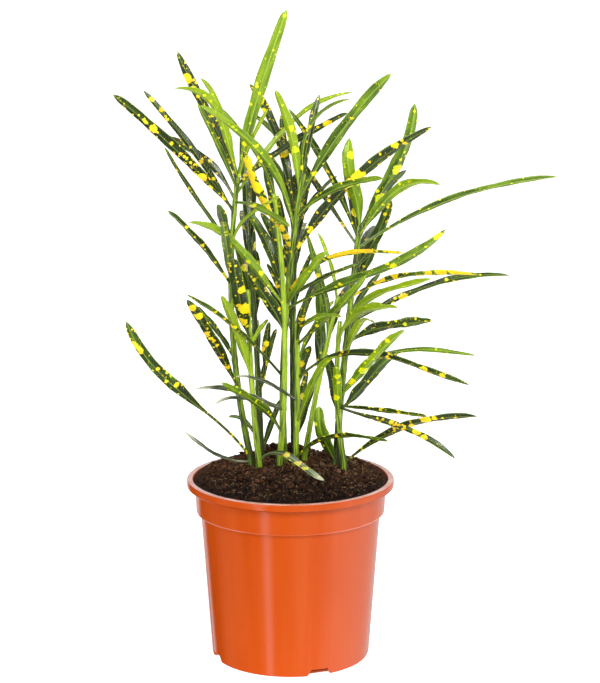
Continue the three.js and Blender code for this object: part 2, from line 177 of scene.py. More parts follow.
# Each leaf has the height where it leaves the stem, its tip, how far it arches up a third and
# two thirds of the way, its width, how far its blade is turned to the front in percent of the
# way, its kind, its large gold patches as (share of its length, radius) and, if it is long,
# its stalk's share.
STEMS = [
    dict(foot=(-25, 21), top=(-32, 6, 303), bow=(-8, 0), radius=(2.2, 1.4), age=0.5, leaves=[
        (282, (-106, -15, 355), (2, 2), 6.6, 75, "old",
         [(0.1, 2.2), (0.2, 2), (0.28, 3.2), (0.43, 1.2), (0.69, 2.8), (0.76, 1.8)]),
        (288, (-84, 45, 326), (8, 6.5), 4.8, 60, "old", [(0.4, 1.5), (0.7, 1.5)]),
        (280, (-91, 30, 354), (3, 2.5), 4.4, 60, "old", [(0.75, 1.5), (0.92, 2)]),
        (299, (-69, 15, 379), (2, 0.5), 6, 75, "old", [(0.72, 2), (0.8, 3)]),
        (303, (-69, -25, 359), (10, 15), 5.3, 60, "lime", []),
        (303, (-56, 40, 361), (4.5, 7), 3.8, 35, "lime", []),
        (296, (-54, -45, 352), (1, 1), 3.6, 40, "mid", []),
        (258, (-79, 40, 318), (-1, -1.5), 3, 40, "dark", [(0.6, 1)]),
        (235, (-73, -30, 287), (2, 2), 4.8, 35, "dark", [(0.12, 3), (0.5, 1.5), (0.75, 1.5)]),
        (251, (-42, -55, 294), (2, 2), 5.5, 45, "dark", []),
        (236, (-39, -65, 285), (2, 2), 5.5, 45, "mid", []),
        (168, (-62, -35, 234), (1.5, 1.5), 6.4, 70, "old", [(0.8, 3), (0.9, 3), (0.55, 1.5)]),
        (186, (-59, 30, 218), (1.5, 1), 4.2, 30, "dark", []),
        (121, (-100, -20, 218), (-1, -6), 7.6, 80, "dark",
         [(0.58, 2), (0.63, 1.8), (0.84, 2.4), (0.88, 2.6), (0.96, 1.5)], 0.32),
        (119, (-66, -5, 145), (-5, -4), 2.6, 60, "dry", []),
        (303, (-2, -18, 405), (2.5, 2), 7.7, 75, "fresh", [(0.12, 2), (0.2, 2)]),
        (297, (-13, -35, 348), (4, 3), 2.6, 45, "lime", []),
        (292, (40, 42, 352), (8.5, 11.5), 3.8, 40, "lime", []),
        (298, (36, 32, 340), (3, 2.5), 5, 50, "old", [(0.82, 3)]),
        (287, (0, -50, 280), (3, 2), 4.5, 35, "mid", [(0.35, 3)]),
        (262, (-6, -20, 295), (5, 3), 2.8, 45, "lime", []),
    ]),
    dict(foot=(-20, 15), top=(-26, 5, 233), bow=(-1.5, 0), radius=(2, 1.3), age=0.1, leaves=[
        (202, (-34, -35, 259), (-3, -3), 9, 65, "old", [(0.25, 4), (0.42, 4.5), (0.65, 3)]),
        (175, (-42, -15, 233), (2, 2), 6, 60, "lime", []),
        (196, (-14, 22, 211), (1, 1), 3, 40, "lime", []),
        (121, (21, -18, 117), (9, 5), 4, 50, "drying", [(0.42, 2.2), (0.6, 2), (0.7, 1.5)]),
    ]),
    dict(foot=(-19, 28), top=(-26, 28, 263), bow=(1, 0), radius=(2.2, 1.3), age=0.9, leaves=[
        (250, (-29, 62, 301), (2, 2), 6.2, 40, "dark", []),
        (225, (-26, 58, 270), (3, 3), 6, 40, "old", [(0.6, 2.5)]),
        (131, (-40, 38, 144), (3, 4.5), 2.8, 55, "dark", []),
        (122, (-5, 62, 151), (1, 2), 3.8, 45, "dark", []),
        (163, (-13, 14, 211), (-4, -1), 5, 55, "old", [(0.7, 2)], 0.3),
        (165, (-9, 58, 198), (0, 1), 3.8, 30, "dark", []),
        (240, (-32, 85, 272), (5, 5), 5.5, 20, "dark", [(0.6, 2.5)]),
        (200, (-34, 88, 232), (8, 8), 5.5, 20, "old", [(0.5, 3)]),
        (175, (-24, 95, 196), (9, 9), 5.4, 10, "mid", [(0.7, 2)]),
        (258, (-31, 55, 325), (2, 2), 5.5, 40, "dark", []),
        (255, (-24, 62, 300), (3, 3), 6, 30, "old", []),
        (205, (-22, 55, 250), (3, 3), 6, 30, "old", [(0.8, 3)]),
        (215, (-35, 45, 258), (1, 1), 6.2, 40, "dark", [(0.6, 2.5)]),
    ]),
    dict(foot=(-4, 25), top=(8, 5, 305), bow=(-5, 3), radius=(2.3, 1.5), age=0.45, leaves=[
        (269, (-52, -48, 351), (13.5, 11), 5.6, 60, "fresh", [(0.55, 1.5), (0.75, 1.2)]),
        (174, (-62, -40, 238), (3.5, 3.5), 4, 40, "dark", [(0.55, 2), (0.75, 1.2)], 0.25),
        (290, (-9, -10, 357), (5, 5), 6, 60, "lime", [(0.42, 2.5), (0.62, 2)]),
        (274, (-26, 62, 356), (11, 11), 5.5, 50, "old", [(0.42, 3), (0.75, 2), (0.83, 3)]),
        (265, (-6, 75, 335), (0, 0), 5, 30, "old", [(0.8, 2.5)]),
        (302, (36, -15, 352), (12, 12.5), 2.8, 55, "mid", []),
        (300, (18, 10, 353), (1, 1), 5, 60, "dark", []),
        (285, (9, 55, 322), (1, 1), 7, 40, "dark", []),
        (288, (59, -42, 369), (4, 4), 7, 75, "mid", [(0.2, 2), (0.62, 1.5)]),
        (250, (84, -30, 337), (8.5, 8), 6.8, 70, "old",
         [(0.09, 2.5), (0.18, 2.5), (0.5, 4), (0.56, 4), (0.8, 2.5)], 0.02),
        (278, (55, -45, 308), (5.5, 5), 5, 65, "mid", []),
        (218, (92, -45, 278), (-1, -5), 6.2, 70, "mid", [(0.35, 1.5), (0.66, 2.5), (0.95, 3)]),
        (228, (68, -35, 262), (12, 9.5), 4, 60, "gold", []),
        (221, (21, -35, 263), (1, 1), 5.5, 55, "fresh", []),
        (208, (16, 8, 250), (5, 4), 3.2, 55, "lime", []),
        (225, (41, -8, 251), (1.5, 1.5), 3.4, 60, "dark", []),
        (270, (30, 55, 298), (3, 3), 3, 25, "dark", []),
        (254, (-10, -32, 283), (3, 2.5), 4, 45, "gold", []),
        (242, (-8, 45, 286), (3, 3), 4.5, 35, "dark", []),
    ]),
    dict(foot=(-7, 17), top=(-10, 4, 293), bow=(5, -5), radius=(2, 1.3), age=0.05, leaves=[
        (292, (-43, 14, 345), (4, 3), 3, 50, "mid", []),
        (224, (-60, -52, 283), (5.5, 9), 5.5, 65, "fresh", [(0.3, 2), (0.42, 2)]),
        (232, (-26, 25, 278), (3, 3.5), 6.6, 50, "dark", []),
        (272, (-28, -12, 321), (-2, -2), 5.8, 55, "gold", [(0.3, 4), (0.55, 4)]),
        (274, (-16, 40, 309), (0, 0), 5.5, 40, "dark", []),
        (250, (-12, 45, 273), (1, 1), 4.4, 30, "dark", []),
        (205, (-26, -5, 245), (2, 1.5), 7.4, 80, "dark", []),
        (157, (-58, -32, 178), (2, 4), 3.8, 65, "dry", []),
        (155, (-46, -38, 170), (4, 5.5), 4, 65, "dry", []),
        (139, (-41, -48, 186), (5, 3), 5.6, 75, "mid", [(0.5, 1.5)]),
    ]),
    dict(foot=(3, 19), top=(4, 14, 210), bow=(1, 0), radius=(2, 1.4), age=0.1, leaves=[
        (160, (-33, -42, 188), (2.5, 3.5), 2.9, 55, "dry", []),
        (196, (45, -48, 251), (-1, -2), 5.4, 55, "mid", [(0.3, 1.5), (0.5, 1.5)]),
        (205, (31, -45, 225), (4, 4), 3.9, 60, "fresh", []),
        (199, (10, -28, 232), (1, 1), 4.4, 45, "old", [(0.5, 2.5)]),
        (185, (28, 45, 219), (3, 3), 3.6, 35, "mid", []),
        (174, (107, -52, 185), (17.5, 12), 5.8, 65, "old", [(0.55, 2), (0.75, 2.5), (0.85, 2)]),
        (145, (30, -42, 200), (6, 9), 4.6, 45, "fresh", []),
        (121, (60, -34, 146), (9, 7), 4.2, 65, "dark", [(0.3, 1.2), (0.5, 1.5), (0.75, 1.2)]),
    ]),
    dict(foot=(3, 31), top=(4, 27, 270), bow=(-2, 0), radius=(2.2, 1.4), age=0.9, leaves=[
        (226, (-19, 50, 275), (2, 3), 5.4, 50, "dark", []),
        (128, (16, 65, 163), (1, 1), 5, 45, "dark", []),
        (132, (11, 55, 171), (1, 1), 4.6, 45, "old", [(0.6, 2.5)]),
        (250, (14, 85, 298), (6, 6), 5.5, 20, "dark", [(0.5, 2)]),
        (262, (-15, 85, 310), (6, 6), 5.5, 20, "mid", [(0.7, 2)]),
        (235, (10, 95, 262), (9, 9), 5.5, 10, "old", [(0.4, 3), (0.7, 2.5)]),
        (200, (-30, 85, 235), (8, 8), 5.5, 30, "old", [(0.6, 2.5)]),
        (190, (24, 90, 228), (8, 8), 5.5, 10, "dark", []),
        (265, (3, 48, 300), (1, 1), 5, 30, "old", []),
        (205, (-15, 45, 243), (2, 2), 4.5, 40, "old", []),
        (215, (14, 45, 250), (2, 2), 3.6, 40, "dark", []),
        (160, (13, 52, 188), (1, 1), 6, 20, "dark", [(0.6, 2.5)]),
    ]),
    dict(foot=(29, 20), top=(43, 8, 273), bow=(-1, 0), radius=(2.3, 1.5), age=0.6, leaves=[
        (260, (-27, 70, 338), (4, 6), 4.2, 40, "dark", []),
        (264, (-1, 14, 344), (3, 3), 4.6, 60, "dark", [(0.75, 2)]),
        (270, (75, -8, 349), (-3.5, -6), 8, 60, "mid", [(0.28, 3.5), (0.52, 3.5)]),
        (267, (36, -5, 328), (2, -5), 7.8, 65, "fresh", [(0.85, 2.5)]),
        (266, (89, -35, 303), (8.5, 11), 6.2, 70, "fresh", []),
        (258, (161, -20, 306), (8, 8), 5, 55, "mid", []),
        (227, (114, -28, 248), (7, 5.5), 4.2, 60, "gold", []),
        (210, (137, 15, 240), (6.5, 8), 4.8, 40, "dark", [(0.36, 3)]),
        (245, (64, 45, 284), (-4, -4), 7, 45, "dark", []),
        (216, (58, 55, 235), (1, 1), 3.6, 20, "dark", []),
        (190, (50, -38, 220), (6, 8), 5, 45, "lime", []),
        (196, (87, -12, 217), (4.5, 3), 6.9, 75, "dark", [(0.7, 1.5)]),
        (165, (118, 25, 187), (15.5, 12), 3.4, 50, "mid", []),
        (119, (18, 5, 159), (-3.5, -5), 7.8, 75, "mid", []),
        (262, (75, 70, 300), (5, 5), 5.5, 20, "dark", [(0.5, 2.5)]),
        (235, (56, 82, 262), (6, 6), 5.5, 20, "old", [(0.6, 2.5)]),
        (180, (50, 92, 205), (9, 9), 5.5, 10, "dark", []),
        (262, (33, 25, 318), (1, 0), 5, 50, "old", [(0.32, 3), (0.52, 3)]),
        (238, (55, 45, 257), (-3, -2.5), 5.5, 30, "dark", []),
        (146, (24, 64, 180), (2, 2), 6, 20, "dark", []),
    ]),
    dict(foot=(34, 12), top=(31, 10, 212), bow=(-3, 0), radius=(2, 1.3), age=0.3, leaves=[
        (202, (83, -55, 250), (10, 7), 5, 65, "lime", []),
        (200, (63, -60, 234), (9, 6.5), 7, 70, "lime", []),
        (150, (28, -18, 189), (2, 3), 5.5, 50, "fresh", [(0.35, 2.5), (0.75, 2.5)]),
        (162, (68, -48, 218), (1, 2), 6.2, 55, "fresh", [(0.25, 3), (0.4, 3.5), (0.8, 2)]),
        (154, (67, -5, 196), (0, 1.5), 7, 80, "dark", []),
        (120, (114, -32, 161), (8, 8), 5.6, 70, "old", [(0.55, 2.5), (0.66, 3.5), (0.72, 2)]),
        (157, (100, -42, 137), (3, 5), 4.4, 40, "old", [(0.45, 2), (0.66, 3), (0.73, 2.5)]),
        (158, (82, -48, 165), (0, 0), 4, 65, "dark", [(0.5, 1.5), (0.7, 2)]),
    ]),
    dict(foot=(9, 27), top=(30, 14, 227), bow=(-1, 0), radius=(1.9, 1.2), age=0, leaves=[
        (224, (17, 18, 267), (2, 2), 2.8, 45, "lime", []),
        (196, (11, 42, 262), (8, 4.5), 4.4, 35, "mid", [(0.6, 2)]),
        (190, (44, 88, 225), (8, 8), 5.5, 10, "dark", []),
        (170, (20, 95, 200), (9, 9), 5.5, 10, "old", [(0.5, 2.5)]),
        (180, (19, 60, 232), (1, 1), 6, 30, "mid", []),
    ]),
]


# Small helpers

def lerp(a, b, t):
    return a + (b - a) * t


def smoothstep(t, low, high):
    t = min(1, max(0, (t - low) / (high - low)))
    return t * t * (3 - 2 * t)


def new_object(name, points, faces, material):
    mesh = bpy.data.meshes.new(name)
    mesh.from_pydata([Vector(p) * MM for p in points], [], faces)
    mesh.materials.append(material)
    mesh.shade_smooth()
    piece = bpy.data.objects.new(name, mesh)
    bpy.context.scene.collection.objects.link(piece)
    return piece


def place_piece(piece, slot, *nodes):
    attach(piece, "root")
    if nodes:
        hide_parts(*nodes)


def ring_faces(rings, count, start=0):
    """Quads between closed rings of points, with both ends closed."""
    faces = []
    for ring in range(rings - 1):
        for side in range(count):
            a = start + ring * count + side
            b = start + ring * count + (side + 1) % count
            faces.append((a, b, b + count, a + count))
    faces.append(tuple(start + i for i in reversed(range(count))))
    faces.append(tuple(start + (rings - 1) * count + i for i in range(count)))
    return faces


def circle(centre, radius, sides):
    turns = [2 * math.pi * i / sides for i in range(sides)]
    return [Vector((math.cos(a), math.sin(a), 0)) * radius + centre for a in turns]


def lathe(profile, sides):
    """Points and faces of a profile of (radius, z) that starts and ends on the axis."""
    points = [Vector((0, 0, profile[0][1]))]
    for radius, z in profile[1:-1]:
        points += circle(Vector((0, 0, z)), radius, sides)
    points.append(Vector((0, 0, profile[-1][1])))
    faces = []
    for i in range(sides):
        j = (i + 1) % sides
        faces.append((0, 1 + j, 1 + i))
        for ring in range(len(profile) - 3):
            a = 1 + ring * sides
            faces.append((a + i, a + j, a + sides + j, a + sides + i))
        last = 1 + (len(profile) - 3) * sides
        faces.append((len(points) - 1, last + i, last + j))
    return points, faces


# Material nodes

def new_material(name):
    material = bpy.data.materials.new(name)
    material.use_nodes = True
    return material, material.node_tree, material.node_tree.nodes["Principled BSDF"]


def set_shader(tree, shader, colour, roughness, specular):
    tree.links.new(colour, shader.inputs["Base Color"])
    tree.links.new(roughness, shader.inputs["Roughness"])
    shader.inputs["Specular IOR Level"].default_value = specular


def node(tree, kind, inputs=None, **settings):
    """A node with its settings made and its inputs set or linked. Gives its outputs."""
    made = tree.nodes.new(kind)
    for name, value in settings.items():
        setattr(made, name, value)
    for name, value in (inputs or {}).items():
        if isinstance(value, bpy.types.NodeSocket):
            tree.links.new(value, made.inputs[name])
        else:
            made.inputs[name].default_value = value
    return made.outputs


def maths(tree, operation, a, b=0.0, clamp=False):
    return node(tree, "ShaderNodeMath", {0: a, 1: b}, operation=operation, use_clamp=clamp)[0]


def plus(tree, a, b, clamp=False):
    return maths(tree, "ADD", a, b, clamp)


def minus(tree, a, b):
    return maths(tree, "SUBTRACT", a, b)


def times(tree, a, b):
    return maths(tree, "MULTIPLY", a, b)


def size_of(tree, value):
    return maths(tree, "ABSOLUTE", value)


def mix(tree, share, a, b):
    return node(tree, "ShaderNodeMix", {0: share, 6: a, 7: b}, data_type="RGBA")[2]


def step(tree, value, low, high, to_low=0.0, to_high=1.0):
    """Takes low to to_low and high to to_high in a straight line, and is level beyond them."""
    return node(tree, "ShaderNodeMapRange",
                {0: value, 1: low, 2: high, 3: to_low, 4: to_high})[0]


def ramp(tree, value, stops):
    made = tree.nodes.new("ShaderNodeValToRGB")
    elements = made.color_ramp.elements
    while len(elements) < len(stops):
        elements.new(0.5)
    for element, (place, colour) in zip(elements, stops):
        element.position = place
        element.color = (*colour, 1)
    tree.links.new(value, made.inputs[0])
    return made.outputs[0]


def greys(levels):
    """Stops of a ramp from pairs of a place and how bright it is."""
    return [(place, (level, level, level)) for place, level in levels]


def stretched(tree, vector, factors):
    return node(tree, "ShaderNodeVectorMath", {0: vector, 1: factors}, operation="MULTIPLY")[0]


def noise_at(tree, vector, scale, detail=3.0, roughness=0.5):
    return node(tree, "ShaderNodeTexNoise",
                {"Vector": vector, "Scale": scale, "Detail": detail, "Roughness": roughness})[0]


def attribute(tree, name):
    return node(tree, "ShaderNodeAttribute", attribute_name=name)


def object_spot(tree):
    return node(tree, "ShaderNodeTexCoord")["Object"]


def split(tree, vector):
    return node(tree, "ShaderNodeSeparateXYZ", {0: vector})


def bump(tree, shader, height, strength, distance):
    made = node(tree, "ShaderNodeBump",
                {"Height": height, "Strength": strength, "Distance": distance})
    tree.links.new(made[0], shader.inputs["Normal"])


# Leaf blades: green by age, gold patches and dust, a pale midrib and fine side veins

LEAF_GREENS = [
    (0.0, (0.30, 0.44, 0.001)),
    (0.25, (0.20, 0.34, 0.002)),
    (0.5, (0.09, 0.18, 0.003)),
    (0.75, (0.027, 0.065, 0.003)),
    (1.0, (0.008, 0.021, 0.003)),
]
GOLDS = [
    (0.0, (0.72, 0.88, 0.004)),
    (0.4, (1.0, 0.84, 0.002)),
    (1.0, (1.0, 0.55, 0.001)),
]
RIB_COLOUR = (0.50, 0.64, 0.08, 1)
EDGE_COLOUR = (0.34, 0.48, 0.04, 1)
UNDER_COLOUR = (0.22, 0.34, 0.10, 1)
DRY_COLOURS = [
    (0.38, (0.030, 0.028, 0.026)),
    (0.5, (0.065, 0.085, 0.045)),
    (0.66, (0.45, 0.46, 0.33)),
]
DRY_TIP_COLOUR = (0.66, 0.66, 0.46, 1)


def blade_green(tree, mm, length_share, age):
    """Darker with age and toward the leaf's base, in long clouds with a fine mottling."""
    cloud = noise_at(tree, stretched(tree, mm, (0.45, 0.07, 1)), 1.0, 3)
    drift = times(tree, minus(tree, cloud, 0.5), 1.2)
    older_base = step(tree, length_share, 0.15, 0.85, 0.14, -0.14)
    shade = plus(tree, plus(tree, age, older_base), drift, clamp=True)
    green = ramp(tree, shade, LEAF_GREENS)
    mottling = step(tree, noise_at(tree, mm, 1.6, 4), 0.3, 0.7, 0.82, 1.16)
    return node(tree, "ShaderNodeVectorMath", {0: green, "Scale": mottling}, operation="SCALE")[0]


def side_veins(tree, across, along):
    """Lines that slant from the midrib toward the tip."""
    slant = times(tree, size_of(tree, across), 1.4)
    wave = maths(tree, "SINE", times(tree, minus(tree, along, slant), 2.6))
    return step(tree, wave, 0.8, 1.0)


def add_ribs(tree, colour, veins, across, share, age):
    """The side veins, a midrib that is paler on young leaves, and a pale margin."""
    colour = mix(tree, times(tree, veins, 0.12), colour, RIB_COLOUR)
    rib = step(tree, size_of(tree, across), 0.15, 0.45, 1.0, 0.0)
    paleness = minus(tree, 0.75, times(tree, age, 0.5))
    colour = mix(tree, times(tree, rib, paleness), colour, RIB_COLOUR)
    margin = step(tree, size_of(tree, share), 0.86, 1.0, 0.0, 0.6)
    return mix(tree, margin, colour, EDGE_COLOUR)


def dots(tree, vector, scale, density, size):
    """Round spots scattered over cells, more of them where density is high."""
    cells = node(tree, "ShaderNodeTexVoronoi", {"Vector": vector, "Scale": scale})
    draw, size_draw, _ = split(tree, cells["Color"])
    chosen = maths(tree, "GREATER_THAN", draw, minus(tree, 1.0, density))
    reach = times(tree, chosen, step(tree, size_draw, 0.0, 1.0, size * 0.35, size))
    return step(tree, minus(tree, reach, cells["Distance"]), 0.0, 0.06)


def add_gold(tree, colour, mm, patch, age, gold):
    """The large patches with ragged edges, blots between them, and large and small dots."""
    cloud = noise_at(tree, mm, 0.17, 2.5)
    blot_edge = minus(tree, 0.77, times(tree, gold, 0.3))
    blots = step(tree, minus(tree, cloud, blot_edge), -0.008, 0.012)
    ragged = times(tree, minus(tree, noise_at(tree, mm, 0.55, 2), 0.5), 2.5)
    patches = step(tree, plus(tree, patch, ragged), -0.1, 0.2)
    density = plus(tree, 0.2, times(tree, gold, 0.35))
    large_dots = dots(tree, mm, 0.36, density, 0.5)
    small_dots = times(tree, dots(tree, mm, 0.8, times(tree, density, 0.6), 0.4), 0.7)
    flecks = large_dots
    for more in (small_dots, blots, patches):
        flecks = maths(tree, "MAXIMUM", flecks, more)
    drift = times(tree, minus(tree, cloud, 0.5), 1.5)
    gold_age = plus(tree, times(tree, age, 0.4), times(tree, gold, 0.3))
    tint = ramp(tree, plus(tree, gold_age, drift, clamp=True), GOLDS)
    return mix(tree, times(tree, flecks, 0.94), colour, tint)


def add_withering(tree, colour, mm, length_share, dry):
    """Dry lines along the leaf and a straw-coloured tip, as far as the leaf is dry."""
    blotted = times(tree, dry, step(tree, noise_at(tree, mm, 0.2, 4), 0.35, 0.55, 0.6, 1.0))
    lines = noise_at(tree, stretched(tree, mm, (2.2, 0.05, 1)), 1.0, 3)
    colour = mix(tree, blotted, colour, ramp(tree, lines, DRY_COLOURS))
    tip = step(tree, length_share, 0.8, 0.94)
    dry_tip = times(tree, tip, step(tree, dry, 0.0, 0.3, 0.0, 0.7))
    return mix(tree, dry_tip, colour, DRY_TIP_COLOUR)


def leaf_material():
    material, tree, shader = new_material("leaf_blade")
    mm = attribute(tree, "leaf_mm")["Vector"]
    across, along, _ = split(tree, mm)
    share, length_share, under = split(tree, attribute(tree, "leaf_place")["Vector"])
    age, gold, dry = split(tree, attribute(tree, "leaf_look")["Vector"])
    patch = attribute(tree, "leaf_patch")["Fac"]

    veins = side_veins(tree, across, along)
    colour = blade_green(tree, mm, length_share, age)
    colour = add_ribs(tree, colour, veins, across, share, age)
    colour = add_gold(tree, colour, mm, patch, age, gold)
    colour = mix(tree, times(tree, under, 0.35), colour, UNDER_COLOUR)
    colour = add_withering(tree, colour, mm, length_share, dry)

    roughness = step(tree, noise_at(tree, mm, 0.5, 3), 0.3, 0.7, 0.26, 0.40)
    for duller in (times(tree, under, 0.14), times(tree, dry, 0.3)):
        roughness = plus(tree, roughness, duller)
    set_shader(tree, shader, colour, roughness, 0.6)
    grain = times(tree, noise_at(tree, mm, 1.1, 4), 1.2)
    bump(tree, shader, plus(tree, times(tree, veins, -0.5), grain), 0.35, 0.0003)
    return material


# Stems: lime when young and dark green when old, with long streaks and spots of cork

STEM_GREENS = [
    (0.0, (0.42, 0.60, 0.03)),
    (0.35, (0.27, 0.42, 0.018)),
    (0.7, (0.10, 0.17, 0.012)),
    (1.0, (0.035, 0.05, 0.012)),
]
CORK_COLOUR = (0.24, 0.22, 0.11, 1)


def stem_material():
    material, tree, shader = new_material("stem_bark")
    mm = attribute(tree, "leaf_mm")["Vector"]
    height_share = split(tree, attribute(tree, "leaf_place")["Vector"])[1]
    age = split(tree, attribute(tree, "leaf_look")["Vector"])[0]
    streaks = noise_at(tree, stretched(tree, mm, (1.6, 0.07, 1)), 1.0, 4)
    older_foot = step(tree, height_share, 0.0, 0.35, 0.35, 0.0)
    streaked = step(tree, streaks, 0.38, 0.62, -0.35, 0.5)
    shade = plus(tree, plus(tree, age, older_foot), streaked, clamp=True)
    corks = step(tree, noise_at(tree, mm, 1.3, 2), 0.62, 0.66, 0.0, 0.5)
    colour = mix(tree, corks, ramp(tree, shade, STEM_GREENS), CORK_COLOUR)
    set_shader(tree, shader, colour, step(tree, streaks, 0.3, 0.7, 0.3, 0.5), 0.5)
    bump(tree, shader, plus(tree, streaks, corks), 0.5, 0.0004)
    return material


# Leafy stems

def stem_point(stem, height):
    t = min(1, max(0, (height - STEM_START) / (stem["top"][2] - STEM_START)))
    bulge = 4 * t * (1 - t)
    return Vector((
        lerp(stem["foot"][0], stem["top"][0], t) + bulge * stem["bow"][0],
        lerp(stem["foot"][1], stem["top"][1], t) + bulge * stem["bow"][1],
        min(height, stem["top"][2]),
    ))


def leaf_curve(start, tip, rise):
    """The four control points of a leaf's middle line, which arches up by rise."""
    chord = tip - start
    flat = math.hypot(chord.x, chord.y)
    up = Vector((-chord.z * chord.x / flat, -chord.z * chord.y / flat, flat)) / chord.length
    low = start + chord / 3 + up * (3 * rise[0] - 1.5 * rise[1])
    high = start + chord * 2 / 3 + up * (3 * rise[1] - 1.5 * rise[0])
    return start, low, high, tip


def curve_point(curve, t):
    a, b, c, d = curve
    s = 1 - t
    return a * s ** 3 + b * (3 * s * s * t) + c * (3 * s * t * t) + d * t ** 3


def curve_tangent(curve, t):
    a, b, c, d = curve
    s = 1 - t
    return ((b - a) * s * s + (c - b) * (2 * s * t) + (d - c) * t * t).normalized()


class LeafyMesh:
    """Collects the points and faces of one leafy stem, and what its materials read.

    Each point has its own place in mm across and along its leaf or stem, its share of the way
    across and along with 1 for the underside, its age, gold and dryness, and how deep it lies
    in a gold patch.
    """

    def __init__(self):
        self.points = []
        self.faces = []
        self.bark_faces = 0
        self.mm = []
        self.place = []
        self.look = []
        self.patch = []

    def add_point(self, point, mm, place, look, patch=NO_PATCH):
        self.points.append(point)
        self.mm.append(mm)
        self.place.append(place)
        self.look.append(look)
        self.patch.append(patch)

    def make(self, name, bark, blade):
        piece = new_object(name, self.points, self.faces, bark)
        mesh = piece.data
        mesh.materials.append(blade)
        for face in mesh.polygons[self.bark_faces:]:
            face.material_index = 1
        vectors = {"leaf_mm": self.mm, "leaf_place": self.place, "leaf_look": self.look}
        for label, rows in vectors.items():
            data = mesh.attributes.new(label, "FLOAT_VECTOR", "POINT").data
            data.foreach_set("vector", [value for row in rows for value in row])
        mesh.attributes.new("leaf_patch", "FLOAT", "POINT").data.foreach_set("value", self.patch)
        return piece


def add_stem(leafy, stem, number):
    top = stem["top"][2]
    joints = [leaf[0] for leaf in stem["leaves"]]
    steps = math.ceil((top - STEM_START) / STEM_STEP)
    heights = [STEM_BOTTOM] + [lerp(STEM_START, top, i / steps) for i in range(steps + 1)]
    start = len(leafy.points)
    for height in heights:
        share = max(0, (height - STEM_START) / (top - STEM_START))
        radius = lerp(*stem["radius"], share)
        swell = max(math.exp(-((height - joint) / NODE_SPREAD) ** 2) for joint in joints)
        centre = stem_point(stem, height)
        for i, point in enumerate(circle(centre, radius + NODE_SWELL * swell, STEM_SIDES)):
            lump = noise.noise(Vector((point.x * 0.8, point.y * 0.8, height * 0.25)))
            point += (point - centre) * (STEM_LUMPS * lump)
            turn = 2 * math.pi * i / STEM_SIDES
            deep = math.sin(turn) * radius + STEM_NOISE_STEP * number
            mm = (math.cos(turn) * radius, height, deep)
            leafy.add_point(point, mm, (0, share, 0), (stem["age"], 0, 0))
    leafy.faces += ring_faces(len(heights), STEM_SIDES, start)
    leafy.bark_faces = len(leafy.faces)


def roll_to_front(along, across):
    """The angle, about its own line, by which a blade rolls to face the front the shorter way."""
    normal = across.cross(along)
    front = Vector((0, -1, 0))
    front -= along * front.dot(along)
    angle = math.atan2(normal.cross(front).dot(along), normal.dot(front))
    return angle - math.copysign(math.pi, angle) if abs(angle) > math.pi / 2 else angle


def blade_section():
    """The way around a blade, from edge to edge above and back below."""
    columns = [2 * i / (LEAF_COLUMNS - 1) - 1 for i in range(LEAF_COLUMNS)]
    return [(u, 1) for u in columns] + [(u, -1) for u in reversed(columns)]


def leaf_width(t, width, blade, phase):
    closing = max(0, t - TIP_START) / (TIP_END - TIP_START)
    taper = math.sqrt(1 - closing ** 2)
    wave = 1 + WAVE_WIDTH * math.sin(2 * math.pi * WAVE_COUNT * t + phase)
    return lerp(STALK_WIDTH, width * taper * wave, blade)


def leaf_lift(u, t, half, blade, phase):
    """How far the middle of the blade's thickness stands up, by its fold, waves and ruffles."""
    side = math.copysign(1, u) if u else 0
    wave = math.sin(2 * math.pi * WAVE_COUNT * t + phase + side) * WAVE_HEIGHT
    ruffle = math.sin(2 * math.pi * RUFFLE_COUNT * t + 2 * phase + side) * RUFFLE_HEIGHT
    return blade * 2 * half * (abs(u) ** 1.2 * (BLADE_FOLD + wave) + u * u * ruffle)


def half_thickness(u, blade):
    round_stalk = math.sqrt(max(0, 1 - u * u)) * STALK_THICKNESS / 2
    flat_blade = BLADE_THICKNESS / 2 * (1 - BLADE_THINNING * u * u)
    return lerp(round_stalk, flat_blade, blade)


def rib_depth(across, t, blade):
    """How far the midrib stands out below the blade."""
    return RIB_HEIGHT * blade * (1 - t) * math.exp(-(across / RIB_WIDTH) ** 2)


def patch_spots(patches, length, width, seed):
    """Where each large gold patch lies along and across the leaf, and its radius."""
    draws = random.Random(seed)
    return [(share * length, draws.uniform(-PATCH_DRIFT, PATCH_DRIFT) * width, radius)
            for share, radius in patches]


def patch_depth(spots, across, along):
    """How deep a point lies in the nearest patch. It is below 0 outside every patch."""
    depths = [radius - math.hypot(across - x, along - y) for y, x, radius in spots]
    return max(depths, default=NO_PATCH)


